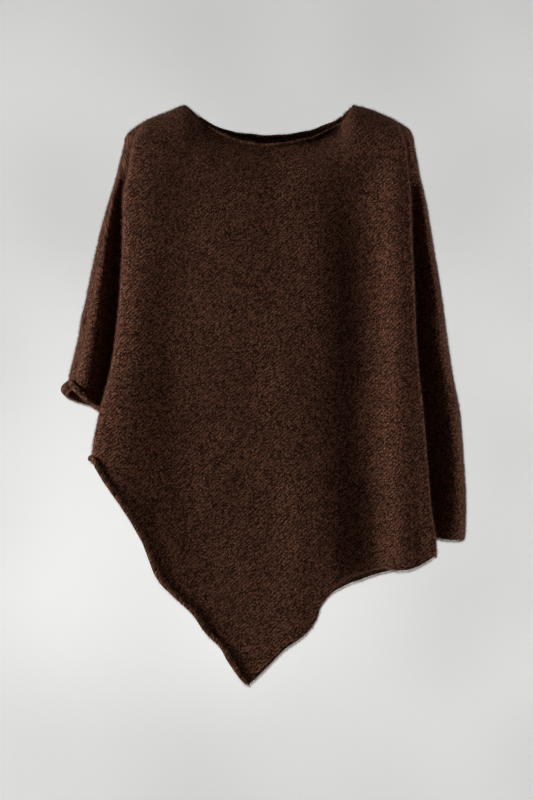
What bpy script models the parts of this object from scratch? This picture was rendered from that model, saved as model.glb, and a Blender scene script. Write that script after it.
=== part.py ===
"""Asymmetric knitted poncho, filled out as it is worn, with one cuffed arm opening.

One knitted strip lies folded over the wearer's left shoulder and arm. Its long edge closes along
the other shoulder and arm in a sewn seam, which leaves the neck open between, and its two ends
hang as the rolled diagonal hem. A short second seam under that arm closes the cuff.
Tables are in millimetres, the finished objects in metres. Front faces -Y, up is +Z, and the
origin lies between the shoulders, where the poncho is held.
"""
import math

import bpy
import bmesh

# Cloth and seams, millimetres
WALL = 2.6
HALF = WALL / 2
SEAM_GAP = 0.3
SEAM_LEAN = 0.34
SEAM_IN = 0.27
ARM_CORNER = 4.0
CORNER_GAP = 0.9
CORNER_RUN = 24.0
SHOULDER_TIP = (-208.5, -52.0)
SEAM_ACROSS = (SEAM_LEAN, -1.0, 0.0)
LIP = 1.6
YARN_RADIUS = 1.0
YARN_SIDES = 6
YARN_SHORT = 9.0

# Depths of the turned over edges
HEM_ROLL = 2.9
CUFF_ROLL = 3.7
NECK_ROLL = 2.2
HEM_TURN = 250.0
CUFF_TURN = 250.0
NECK_TURN = 165.0

# Heights that the rows of the cloth follow
JOIN_TOP = -446.0
JOIN_END = -505.0
JOIN_EASE = 7.0
JOIN_CROTCH = 1.2
JOIN_CROTCH_RUN = 24.0
SHOULDER_DROP = 78.0
TIP_DROP = 48.0
NECK_DROP = 60.0
NECK_START = 42.0
SHOULDER_ROWS = 5
BODY_ROWS = 9
SKIRT_ROWS = 9
HEM_ROLL_STEPS = 6
CUFF_ROLL_STEPS = 6
NECK_ROLL_STEPS = 3

# Level cuts through the poncho. line is the arm's outer line, arm the inner edge of the hanging
# arm cloth, body the edge of the panel beside it, fold the depth left at the bottom of the
# valley between them. Depths are measured from the middle plane. seam is how far the left
# seam lies in front of it. lean is how far a valley's bottom lies towards the middle.
SECTION_COLUMNS = (
    "height", "line_l", "arm_l", "body_l", "body_r", "arm_r", "line_r",
    "arm_deep_l", "arm_deep_r", "front_fold_l", "front_fold_r", "front_side", "front_mid",
    "back_fold_l", "back_fold_r", "back_side", "back_mid", "seam", "lean_l", "lean_r")
SECTIONS = (
    (0, -204, -196, -188, 186, 194, 202, 28, 28, 36, 36, 50, 60, 36, 36, 44, 50, 0, 0, 0),
    (-52, -210, -202, -196, 194, 202, 209, 34, 34, 44, 44, 64, 72, 44, 44, 52, 68, 2, 0, 0),
    (-100, -220, -213, -203, 199, 209, 216, 39, 38, 42, 44, 80, 88, 43, 44, 60, 82, 5, 4, 4),
    (-138, -231, -223, -211, 203, 216, 225, 45, 42, 30, 36, 91, 98, 38, 40, 64, 90, 10, 8, 8),
    (-196, -246, -232, -212, 205, 221, 235, 52, 46, 18, 26, 98, 108, 28, 32, 68, 98, 16, 14, 14),
    (-268, -262, -239, -216, 209, 231, 247, 57, 48, 11, 22, 101, 113, 18, 28, 70, 100, 21, 20, 20),
    (-341, -277, -247, -223, 212, 234, 257, 60, 50, 7, 20, 102, 115, 9, 26, 71, 99, 24, 24, 24),
    (-400, -291, -254, -233, 217, 243, 266, 61, 51, 4.6, 20, 103, 115, 4.6, 25, 71, 98, 24, 24, 25),
    (-446, -300, -258, -245, 222, 249, 275, 62, 52, 3.4, 20, 104, 115, 3.4, 25, 72, 98, 16, 20, 25),
    (-509, -305, -268, -255, 227, 256, 280, 62, 52, 1.5, 20, 104, 115, 1.5, 25, 73, 98, 3, 14, 25),
    (-580, -305, -268, -257, 233, 257, 284, 62, 50, 1.5, 20, 104, 115, 1.5, 25, 74, 99, 0, 12, 24),
    (-640, -305, -268, -259, 240, 247, 283, 62, 46, 1.5, 22, 104, 114, 1.5, 27, 74, 100, 0, 10, 16),
    (-840, -305, -268, -262, 244, 250, 284, 62, 44, 1.5, 22, 102, 112, 1.5, 27, 74, 100, 0, 10, 10),
)

# How much further the front panel's left side stands out than its right one, by height
FRONT_LEFT = ((0, 0), (-196, 3), (-268, 6), (-341, 9), (-400, 12), (-446, 14), (-509, 15))
# How flat the panels are across, higher is flatter
FRONT_BOW = 3.2
BACK_BOW = 2.2
# Rise of the panels' outer ridges over their edges: left edge, left, right, right edge
CREST = {"front": (8.0, 11.0, 11.0, 23.0), "back": (0.0, 9.0, 9.0, 1.0)}

# Top line of the shoulders and the neck edge, columns across and height
SHOULDER_L = ((-210, -52), (-202, -41), (-188, -31), (-173, -23), (-158, -16.5), (-143, -10.5),
              (-130, -4), (-122, -1.5))
SHOULDER_R = ((122, -1.5), (132, -4), (146, -8.5), (160, -15), (175, -21.5), (189, -28.5),
              (203, -37.5), (209, -52))
NECK_L = -122.0
NECK_R = 122.0
NECK_FRONT = ((-122, -1.5), (-114, -14), (-105, -24), (-86, -40), (-60, -54), (-36, -62),
              (0, -66.5), (36, -62), (65, -55), (85, -45), (103, -32), (115, -15), (122, -1.5))
NECK_BACK = ((-122, -1.5), (-114, -7), (-101, -18), (-87, -28), (-72, -35.5), (-58, -39.5),
             (-28, -43.5), (0, -45.5), (30, -43.5), (60, -38.5), (89, -28), (104, -19), (114, -8),
             (122, -1.5))
NECK_CLOSE = (0.07, 0.18)
NECK_FRONT_DEPTH = 62.0
NECK_BACK_DEPTH = 50.0

# Where the knots of a section meet the shoulder line, knot and across
TOP_L = ((0, -208.5), (1, -203), (3, -194), (6, -184), (9, -171))
TOP_R = ((17, 171), (20, 184), (23, 194), (25, 203), (26, 208.5))

# Hems, columns across and height. The left ones are where the roll begins.
FRONT_HEM = (
    (-246, -511), (-239, -528), (-225, -550), (-209, -573), (-195, -595), (-180, -619),
    (-171, -644), (-163, -666), (-150, -687), (-128, -708), (-104, -731), (-89, -754),
    (-66, -777), (-53, -800), (-27, -829), (-21, -824), (1, -802), (24, -779), (42, -767),
    (58, -752), (68, -736), (72, -720), (78, -711), (88, -696), (101, -683), (121, -674),
    (139, -669), (152, -665), (165, -662), (176, -668), (186, -670), (207, -665), (224, -656),
    (234, -648), (244, -640))
BACK_HEM = (
    (-246, -511), (-239, -526), (-209, -571), (-180, -614), (-163, -660), (-128, -704),
    (-89, -749), (-53, -795), (-27, -824), (1, -800), (42, -768), (68, -740), (81, -725),
    (92, -713), (107, -704), (119, -698), (134, -693), (149, -687), (164, -683), (182, -679),
    (207, -668), (224, -658), (234, -648), (244, -640))
TIP_ACROSS = -27.0
TIP_DOWN = -829.0
# Hem of the arm fall, by the share of the way from the panel's edge to the outer line
ARM_HEM = ((0, -648), (0.3, -638), (0.55, -626), (0.75, -629), (0.9, -626), (1, -618))
# Cuff edge, by the share of the way from the outer line to the underarm
FRONT_CUFF = ((0, -406), (0.17, -404), (0.3, -410), (0.5, -427), (0.8, -438), (1, -446))
BACK_CUFF = ((0, -406), (0.1, -411), (0.2, -418), (0.5, -433), (0.8, -441), (1, -446))

# Folds and ridges of the cloth, columns top x and z, foot x and z, width, rise out of the cloth
# and how far the ends fade.
FRONT_FOLDS = (
    (-172, -190, -208, -520, 32, 7.5, 110),
    (-140, -470, -112, -640, 28, -3.0, 80),
    (130, -260, 134, -700, 42, -15.0, 120),
    (181, -170, 187, -690, 17, 9.5, 90),
    (76, -610, 80, -760, 12, 5.0, 60),
    (52, -590, 30, -770, 34, 6.0, 70),
    (-118, -620, -78, -560, 16, 1.2, 30),
    (-60, -90, -30, -300, 46, 2.0, 80),
    (60, -90, 70, -280, 36, 2.0, 80),
)
BACK_FOLDS = (
    (-165, -200, -140, -560, 28, -8.0, 110),
    (-110, -260, -84, -760, 26, 7.0, 140),
    (-40, -420, -24, -820, 30, -5.0, 120),
    (60, -300, 66, -760, 26, 7.0, 150),
    (118, -240, 124, -700, 24, -9.0, 150),
    (172, -170, 178, -680, 20, 8.0, 140),
    (0, -60, 0, -240, 60, -3.0, 60),
)

# Knots of a section's curve, counted from the outer line on the left
KNOT_UNDERARM = 6
KNOT_BODY_L = 9
KNOT_BODY_R = 17
KNOT_LAST = 26

KNIT_COLOR = (0.045, 0.022, 0.014, 1.0)
YARN_COLOR = (0.055, 0.028, 0.018, 1.0)


def slopes(points, values):
    """Slopes of a smooth line through a short table, without overshoot."""
    steps = [(values[i + 1] - values[i]) / (points[i + 1] - points[i])
             for i in range(len(points) - 1)]
    inner = [0.0 if a * b <= 0 else 2 * a * b / (a + b) for a, b in zip(steps, steps[1:])]
    return [steps[0]] + inner + [steps[-1]]


class Line:
    """A smooth line through rows of (position, value), held at its ends."""

    def __init__(self, points, values):
        if points[0] > points[-1]:
            points, values = points[::-1], values[::-1]
        self.points, self.values = list(points), list(values)
        self.slopes = slopes(self.points, self.values)

    def __call__(self, at):
        points = self.points
        if at <= points[0]:
            return self.values[0]
        if at >= points[-1]:
            return self.values[-1]
        low = 0
        while points[low + 1] < at:
            low += 1
        span = points[low + 1] - points[low]
        part = (at - points[low]) / span
        square, cube = part * part, part * part * part
        return ((2 * cube - 3 * square + 1) * self.values[low]
                + (cube - 2 * square + part) * span * self.slopes[low]
                + (3 * square - 2 * cube) * self.values[low + 1]
                + (cube - square) * span * self.slopes[low + 1])


def line(rows):
    return Line([row[0] for row in rows], [row[1] for row in rows])


SECTION_LINES = {
    name: Line([row[0] for row in SECTIONS], [row[i] for row in SECTIONS])
    for i, name in enumerate(SECTION_COLUMNS)}
SHOULDER_LINE_L = line(SHOULDER_L)
SHOULDER_LINE_R = line(SHOULDER_R)
ARM_HEM_LINE = line(ARM_HEM)
FRONT_LEFT_LINE = line(FRONT_LEFT)


class Side:
    """The front or the back half: which way it faces and its own tables."""

    def __init__(self, name, face, bow, neck, neck_depth, hem, cuff, folds):
        self.name, self.face, self.bow = name, face, bow
        self.neck, self.neck_depth = line(neck), neck_depth
        self.hem, self.cuff, self.folds = line(hem), line(cuff), folds


FRONT = Side("front", -1, FRONT_BOW, NECK_FRONT, NECK_FRONT_DEPTH, FRONT_HEM, FRONT_CUFF,
             FRONT_FOLDS)
BACK = Side("back", 1, BACK_BOW, NECK_BACK, NECK_BACK_DEPTH, BACK_HEM, BACK_CUFF, BACK_FOLDS)


def mix(a, b, share):
    return a + (b - a) * share


def ease(share):
    share = min(1.0, max(0.0, share))
    return share * share * (3 - 2 * share)


def knots(height, side):
    """Control points of one level cut through one half, left outer line to right outer line."""
    cut = {name: curve(height) for name, curve in SECTION_LINES.items()}
    deep_l, deep_r = cut["arm_deep_l"], cut["arm_deep_r"]
    fold_l, fold_r = cut[side.name + "_fold_l"], cut[side.name + "_fold_r"]
    edge, middle = cut[side.name + "_side"], cut[side.name + "_mid"]
    edge_l = edge + (FRONT_LEFT_LINE(height) if side is FRONT else 0.0)
    crest = CREST[side.name]
    line_l, arm_l, body_l = cut["line_l"] + HALF, cut["arm_l"] - HALF, cut["body_l"] + HALF
    body_r, arm_r, line_r = cut["body_r"] - HALF, cut["arm_r"] + HALF, cut["line_r"] - HALF
    seam = cut["seam"]
    lean = SEAM_LEAN * min(1.0, seam / 14.0)
    run = 0.5 * (deep_l - seam) if side is FRONT else 0.9 * seam + 14.0
    gap = SEAM_GAP / 2 * side.face
    start = (line_l + SEAM_IN * seam - lean * gap, -seam + gap)
    turn = (start[0] - lean * run * side.face, start[1] + run * side.face)
    left, right = arm_l - line_l, line_r - arm_r
    joined = ease((JOIN_TOP - height) / JOIN_EASE)
    lean_l, lean_r = cut["lean_l"], cut["lean_r"]
    join_x = body_l + 0.5 + lean_l
    crotch = JOIN_CROTCH * (1 - ease((JOIN_TOP - height) / JOIN_CROTCH_RUN))
    valley = []
    for share, sideways in ((0.22, -1), (0.5, 0), (0.78, 1)):
        open_x = mix(arm_l, body_l, share) + lean_l
        valley.append((mix(open_x, join_x, joined),
                       mix(fold_l, SEAM_GAP / 2 + crotch + 8.0 * sideways, joined)))
    width = body_r - body_l
    points = [
        (start[0], start[1] * side.face), (turn[0], turn[1] * side.face),
        (line_l + 0.42 * left, deep_l), (arm_l + ARM_CORNER, deep_l + 1.0),
        (arm_l + 0.45 * lean_l, (deep_l + fold_l) / 2), valley[0], valley[1], valley[2],
        (body_l + 0.5 * lean_l, (edge_l + fold_l) / 2),
        (body_l, edge_l + crest[0]), (body_l + 15, edge_l + crest[1])]
    for share in (0.2, 0.35, 0.5, 0.65, 0.8):
        bow = 1 - abs(2 * share - 1) ** side.bow
        points.append((body_l + width * share,
                       mix((edge_l if share < 0.5 else edge) + 6, middle, bow)))
    points += [
        (body_r - 14, edge + crest[2]), (body_r + 1, edge + crest[3]),
        (body_r - 0.5 * lean_r, (edge + fold_r) / 2),
        (mix(body_r, arm_r, 0.22) - lean_r, fold_r), (mix(body_r, arm_r, 0.5) - lean_r, fold_r),
        (mix(body_r, arm_r, 0.78) - lean_r, fold_r),
        (arm_r - 0.45 * lean_r, (deep_r + fold_r) / 2),
        (arm_r, deep_r), (line_r - 0.30 * right, deep_r), (line_r, 0.5 * deep_r), (line_r, 0.0)]
    return [(x, y * side.face) for x, y in points]


def curve_point(points, at):
    """Point of the smooth curve that the control points carry."""
    low = min(int(at), len(points) - 2)
    part = at - low
    before = points[low - 1] if low else tuple(2 * a - b for a, b in zip(points[0], points[1]))
    after = (points[low + 2] if low + 2 < len(points)
             else tuple(2 * a - b for a, b in zip(points[-1], points[-2])))
    weights = ((1 - part) ** 3 / 6, (3 * part ** 3 - 6 * part ** 2 + 4) / 6,
               (-3 * part ** 3 + 3 * part ** 2 + 3 * part + 1) / 6, part ** 3 / 6)
    four = (before, points[low], points[low + 1], after)
    return tuple(sum(w * p[axis] for w, p in zip(weights, four)) for axis in (0, 1))


def fold_rise(x, z, side):
    """How far the folds lift the cloth at a place on the panel."""
    rise = 0.0
    for x1, z1, x2, z2, width, height, fade in side.folds:
        share = (z - z1) / (z2 - z1)
        across = x - mix(x1, x2, share)
        past = max(z - max(z1, z2), min(z1, z2) - z, 0.0)
        rise += height * math.exp(-(across / width) ** 2) * math.exp(-(past / fade) ** 2)
    return rise


def section_point(height, at, side):
    x, y = curve_point(knots(height, side), at)
    inside = ease((at - KNOT_BODY_L) / 1.5) * ease((KNOT_BODY_R - at) / 1.5)
    if inside:
        y += side.face * inside * fold_rise(x, height, side)
    return x, y


def chest_across(at):
    return section_point(-100.0, at, FRONT)[0]


def solve(target, low, high, value):
    """Column position or height at which a rising value meets its target."""
    for _ in range(40):
        middle = (low + high) / 2
        if value(middle) < target:
            low = middle
        else:
            high = middle
    return (low + high) / 2


COLUMN_NECK_L = solve(NECK_L, KNOT_BODY_L, KNOT_BODY_R, chest_across)
COLUMN_NECK_R = solve(NECK_R, KNOT_BODY_L, KNOT_BODY_R, chest_across)
COLUMN_TIP = solve(TIP_ACROSS, KNOT_BODY_L, KNOT_BODY_R,
                   lambda at: section_point(TIP_DOWN, at, FRONT)[0])


def spaced(start, end, count):
    return [mix(start, end, i / count) for i in range(1, count + 1)]


def columns():
    """Column positions, closer together where the cloth turns and at the seams."""
    places = [0.0, 0.06, 1.0, 2.0, 3.0, 4.0, 5.0, 6.0, 6.16, 7.0, 8.0, 9.0]
    places += spaced(9.0, COLUMN_NECK_L, 3)
    places += [mix(COLUMN_NECK_L, COLUMN_TIP, share) for share in NECK_CLOSE]
    places += spaced(places[-1], COLUMN_TIP, 6)
    ahead = mix(COLUMN_NECK_R, COLUMN_TIP, NECK_CLOSE[1])
    places += spaced(COLUMN_TIP, ahead, 7)
    places += [mix(COLUMN_NECK_R, COLUMN_TIP, NECK_CLOSE[0]), COLUMN_NECK_R]
    places += spaced(COLUMN_NECK_R, 17.0, 3)
    places += [18.0, 19.0, 20.0, 21.0, 22.0, 23.0, 24.0, 25.0, 26.0]
    return places


COLUMNS = columns()
UNDERARM = COLUMNS.index(6.0)
NECK_FROM = COLUMNS.index(COLUMN_NECK_L)
NECK_TO = COLUMNS.index(COLUMN_NECK_R)
TIP = COLUMNS.index(COLUMN_TIP)


TOP_LINE_L = line(TOP_L + ((COLUMN_NECK_L, NECK_L),))
TOP_LINE_R = line(((COLUMN_NECK_R, NECK_R),) + TOP_R)


def top_point(at, side):
    """Where a column starts: on the shoulder line or on the neck edge."""
    if at <= COLUMN_NECK_L:
        x = TOP_LINE_L(at)
        return x, SEAM_GAP / 2 * side.face, SHOULDER_LINE_L(x)
    if at >= COLUMN_NECK_R:
        x = TOP_LINE_R(at)
        return x, 0.0, SHOULDER_LINE_R(x)
    x = chest_across(at)
    share = abs(2 * (x - NECK_L) / (NECK_R - NECK_L) - 1)
    depth = side.neck_depth * (1 - share ** 2.8) ** 0.65
    return x, depth * side.face + SEAM_GAP / 2 * side.face * ease(-x / NECK_R), side.neck(x)


def hem_height(index, side):
    """Height at which a column ends."""
    at = COLUMNS[index]
    if index <= UNDERARM:
        return side.cuff(at / KNOT_UNDERARM)
    if at < KNOT_BODY_L:
        corner = solve_hem(KNOT_BODY_L, side)
        return mix(JOIN_END, corner, (at - KNOT_UNDERARM) / (KNOT_BODY_L - KNOT_UNDERARM))
    if at > KNOT_BODY_R:
        return ARM_HEM_LINE((at - KNOT_BODY_R) / (KNOT_LAST - KNOT_BODY_R))
    return solve_hem(at, side)


def solve_hem(at, side):
    low, high = -860.0, -480.0
    for _ in range(30):
        middle = (low + high) / 2
        if middle < side.hem(section_point(middle, at, side)[0]):
            low = middle
        else:
            high = middle
    return (low + high) / 2


def column_points(index, side, end, foot):
    """Points of one column from its start down to the level end, then on to its foot."""
    at = COLUMNS[index]
    x0, y0, z0 = top_point(at, side)
    on_neck = COLUMN_NECK_L < at < COLUMN_NECK_R
    share = 1 - abs(2 * (x0 - NECK_L) / (NECK_R - NECK_L) - 1) if on_neck else 0.0
    reach = ease(4 * share)
    outer = ease((abs(x0) - NECK_R) / (abs(SHOULDER_TIP[0]) - NECK_R))
    drop = mix(mix(SHOULDER_DROP, TIP_DROP, outer), NECK_DROP, reach)
    first = math.radians(NECK_START * reach)
    points = [(x0, y0, z0)]
    angles = [mix(first, math.pi / 2, i / SHOULDER_ROWS) for i in range(SHOULDER_ROWS + 1)]
    for i, angle in enumerate(angles):
        out = (math.sin(angle) - math.sin(first)) / (1 - math.sin(first))
        down = (math.cos(first) - math.cos(angle)) / math.cos(first)
        z = z0 - drop * down
        x, y = section_point(z, at, side)
        if i:
            points.append((mix(x0, x, out), mix(y0, y, out), z))
        else:
            points.append((x0, y0 + LIP * side.face * (0.6 if index == 1 else 1.0), z0))
    if on_neck or index == 0:
        near = LIP / max(LIP, math.dist(points[0], points[2]))
        points[1] = tuple(mix(a, b, near) for a, b in zip(points[0], points[2]))
    if index < NECK_FROM:
        points = [(x, y + side.face * CORNER_GAP * (1 - ease(
            math.dist((x, z), SHOULDER_TIP) / CORNER_RUN)), z) for x, y, z in points]
    start = points[-1][2]
    for i in range(1, BODY_ROWS + 1):
        z = mix(start, end, i / BODY_ROWS)
        points.append(section_point(z, at, side) + (z,))
    if foot is not None:
        for i in range(1, SKIRT_ROWS + 1):
            z = mix(end, foot, i / SKIRT_ROWS)
            points.append(section_point(z, at, side) + (z,))
    return points


def unit(v):
    size = math.sqrt(sum(c * c for c in v))
    return tuple(c / size for c in v)


def cross(a, b):
    return (a[1] * b[2] - a[2] * b[1], a[2] * b[0] - a[0] * b[2], a[0] * b[1] - a[1] * b[0])


def less(a, b):
    return tuple(p - q for p, q in zip(a, b))


def rolled(edge, inner, outward, radius, turn, steps, first=None):
    """Points that turn an edge over, one list a column, from the edge on."""
    lists = []
    last = len(edge) - 1
    for i, place in enumerate(edge):
        along = unit(less(edge[min(last, i + 1)], edge[max(0, i - 1)]))
        if first and not i:
            along = unit(first)
        back = less(place, inner[i])
        face = cross(along, back)
        face = unit(face)
        if sum(a * b for a, b in zip(face, outward[i])) < 0:
            face = tuple(-c for c in face)
        ahead = cross(face, along)
        if sum(a * b for a, b in zip(ahead, back)) < 0:
            ahead = tuple(-c for c in ahead)
        size, full = radius[i], math.radians(turn[i])
        curl = []
        for step in range(1, steps + 1):
            angle = full * step / steps
            curl.append(tuple(p + size * math.sin(angle) * a + size * (1 - math.cos(angle)) * f
                              for p, a, f in zip(place, ahead, face)))
        lists.append(curl)
    return lists


class Sheet:
    """Collects the middle surface of the strip, sharing points that coincide."""

    def __init__(self):
        self.mesh = bmesh.new()

    def quad(self, a, b, c, d, flip):
        corners = (a, b, c, d) if not flip else (d, c, b, a)
        self.mesh.faces.new([self.mesh.verts.new([v / 1000.0 for v in p]) for p in corners])

    def grid(self, rows, flip):
        """Faces between neighbouring lists of points of equal length."""
        for left, right in zip(rows, rows[1:]):
            for i in range(len(left) - 1):
                self.quad(left[i], left[i + 1], right[i + 1], right[i], flip)


def facing(index, side):
    """A rough outward direction for a column, to tell the cloth's outer face."""
    at = COLUMNS[index]
    if at < 1.2:
        return (-1.0, 0.4 * side.face, 0.0)
    if at < 3.5:
        return (0.0, side.face, 0.0)
    if at <= 5.5:
        return (1.0, 0.3 * side.face, 0.0)
    if at < 9.0:
        return (-1.0, 0.2 * side.face, 0.0)
    return (0.0, side.face, 0.0)


def build_half(sheet, side):
    flip = side is BACK
    sleeve = [column_points(i, side, hem_height(i, side), None) for i in range(UNDERARM + 1)]
    body = [column_points(i, side, JOIN_TOP, JOIN_END if i == UNDERARM else hem_height(i, side))
            for i in range(UNDERARM, len(COLUMNS))]
    sheet.grid(sleeve, flip)
    sheet.grid(body, flip)

    cuff = sleeve[1:UNDERARM - 1]
    ends = [i / (len(cuff) - 1) for i in range(len(cuff))]
    quick = 4 if side is FRONT else 2
    curls = rolled([c[-1] for c in cuff], [c[-2] for c in cuff],
                   [facing(i, side) for i in range(1, UNDERARM - 1)],
                   [CUFF_ROLL * (1 - 0.3 * ease(2 * e - 1)) for e in ends],
                   [CUFF_TURN * (1 - 0.85 * ease(quick * (e - 0.5))) for e in ends],
                   CUFF_ROLL_STEPS, SEAM_ACROSS)
    sheet.grid([[c[-1]] + curl for c, curl in zip(cuff, curls)], flip)

    left = body[1:TIP - UNDERARM + 1]
    shares = [i / (len(left) - 1) for i in range(len(left))]
    curls = rolled([c[-1] for c in left], [c[-2] for c in left],
                   [facing(i, side) for i in range(UNDERARM + 1, TIP + 1)],
                   [HEM_ROLL * (1 - 0.22 * ease((s - 0.85) / 0.15)) * mix(0.55, 1, ease(4 * s))
                    for s in shares],
                   [HEM_TURN * (1 - 0.25 * ease((s - 0.9) / 0.1)) for s in shares],
                   HEM_ROLL_STEPS, (0.0, 1.0, 0.0))
    sheet.grid([[c[-1]] + curl for c, curl in zip(left, curls)], flip)

    neck = body[NECK_FROM - UNDERARM + 2:NECK_TO - UNDERARM - 1]
    ends = [min(i, len(neck) - 1 - i) for i in range(len(neck))]
    curls = rolled([c[0] for c in neck], [c[1] for c in neck],
                   [(0.0, side.face, 1.0)] * len(neck),
                   [NECK_ROLL] * len(neck),
                   [mix(110.0, NECK_TURN, ease(e / 2)) for e in ends], NECK_ROLL_STEPS)
    curls = [[c[0]] + curl for c, curl in zip(neck, curls)]
    sheet.grid(curls, not flip)


def material(name, color, roughness):
    made = bpy.data.materials.new(name)
    made.use_nodes = True
    shader = made.node_tree.nodes["Principled BSDF"]
    shader.inputs["Base Color"].default_value = color
    shader.inputs["Roughness"].default_value = roughness
    made.diffuse_color = color
    return made


def finish(name, mesh, shade, collection):
    data = bpy.data.meshes.new(name)
    mesh.to_mesh(data)
    mesh.free()
    item = bpy.data.objects.new(name, data)
    data.materials.append(shade)
    collection.objects.link(item)
    return item


def seam_path(edge, beside):
    """Line of the sewing yarn: on the seam, lifted off the cloth's outer face."""
    lift = HALF + SEAM_GAP + YARN_RADIUS
    last = len(edge) - 1
    path = []
    middle = (0.0, SEAM_GAP / 2, 0.0)
    for i, (place, near) in enumerate(zip(edge, beside)):
        along = less(edge[min(last, i + 1)], edge[max(0, i - 1)])
        away = unit(cross(along, less(near, place)))
        if away[2] - away[0] < 0:
            away = tuple(-c for c in away)
        path.append(tuple(p + m + lift * a for p, m, a in zip(place, middle, away)))
    return path


def yarn(name, path, shade, collection):
    """A round yarn along a path, closed at both ends."""
    mesh = bmesh.new()
    rings = []
    last = len(path) - 1
    for i, place in enumerate(path):
        along = unit(less(path[min(last, i + 1)], path[max(0, i - 1)]))
        across = unit(cross(along, (0.0, 1.0, 0.0)))
        up = cross(across, along)
        ring = []
        for k in range(YARN_SIDES):
            angle = 2 * math.pi * k / YARN_SIDES
            ring.append(mesh.verts.new([
                (p + YARN_RADIUS * (math.cos(angle) * a + math.sin(angle) * u)) / 1000.0
                for p, a, u in zip(place, across, up)]))
        rings.append(ring)
    for low, high in zip(rings, rings[1:]):
        for k in range(YARN_SIDES):
            j = (k + 1) % YARN_SIDES
            mesh.faces.new((low[k], low[j], high[j], high[k]))
    mesh.faces.new(rings[0][::-1])
    mesh.faces.new(rings[-1])
    bmesh.ops.recalc_face_normals(mesh, faces=mesh.faces)
    return finish(name, mesh, shade, collection)


def build_poncho():
    for item in list(bpy.data.objects):
        bpy.data.objects.remove(item, do_unlink=True)
    collection = bpy.data.collections.new("knitted_poncho")
    bpy.context.scene.collection.children.link(collection)
    knit = material("brown_knit", KNIT_COLOR, 0.95)
    thread = material("brown_yarn", YARN_COLOR, 0.9)

    sheet = Sheet()
    build_half(sheet, FRONT)
    build_half(sheet, BACK)
    bmesh.ops.remove_doubles(sheet.mesh, verts=sheet.mesh.verts, dist=0.00002)
    strip = finish("knitted_strip", sheet.mesh, knit, collection)
    shell = strip.modifiers.new("cloth wall", "SOLIDIFY")
    shell.thickness = WALL / 1000.0
    shell.offset = 0.0

    arm = column_points(0, FRONT, hem_height(0, FRONT), None)[2:]
    beside_arm = column_points(1, FRONT, hem_height(1, FRONT), None)[2:]
    short = 1 - YARN_SHORT / math.dist(arm[-2], arm[-1])
    for rows in (arm, beside_arm):
        rows[-1] = tuple(mix(a, b, short) for a, b in zip(rows[-2], rows[-1]))
    tops = [column_points(i, FRONT, JOIN_TOP, None)[0] for i in range(NECK_FROM - 1, -1, -1)
            if i != 1]
    beside = [(x, y - LIP, z) for x, y, z in tops] + beside_arm
    yarn("arm_seam", seam_path(tops + arm, beside), thread, collection)

    edge = column_points(UNDERARM, FRONT, JOIN_TOP, JOIN_END)[1 - SKIRT_ROWS:-2]
    beside = column_points(UNDERARM + 1, FRONT, JOIN_TOP, hem_height(UNDERARM + 1, FRONT))
    yarn("underarm_seam", seam_path(edge, beside[1 - SKIRT_ROWS:-2]), thread, collection)


build_poncho()
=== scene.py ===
import math

import bmesh
import bpy
import numpy as np
from bpy.props import FloatProperty, FloatVectorProperty, IntProperty, PointerProperty
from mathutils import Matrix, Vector


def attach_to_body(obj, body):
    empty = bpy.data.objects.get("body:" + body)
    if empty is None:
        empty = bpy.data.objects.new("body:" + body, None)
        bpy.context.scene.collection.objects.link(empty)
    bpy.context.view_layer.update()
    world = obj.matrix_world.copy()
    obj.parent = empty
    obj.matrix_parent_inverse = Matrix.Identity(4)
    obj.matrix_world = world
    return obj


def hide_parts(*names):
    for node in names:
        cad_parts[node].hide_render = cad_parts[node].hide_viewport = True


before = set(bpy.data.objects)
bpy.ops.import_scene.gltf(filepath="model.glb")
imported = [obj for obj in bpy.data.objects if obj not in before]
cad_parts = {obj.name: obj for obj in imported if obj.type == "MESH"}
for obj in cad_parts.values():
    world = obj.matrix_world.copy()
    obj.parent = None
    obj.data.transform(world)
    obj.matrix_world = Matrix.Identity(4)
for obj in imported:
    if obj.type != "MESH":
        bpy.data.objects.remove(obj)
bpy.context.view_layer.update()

bl_info = {
    "name": "Knitted Poncho",
    "version": (1, 0, 0),
    "blender": (4, 5, 0),
    "location": "View3D > Sidebar > Poncho",
    "description": "Builds an asymmetric knitted poncho over its plain solid",
    "category": "Object",
}

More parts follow.
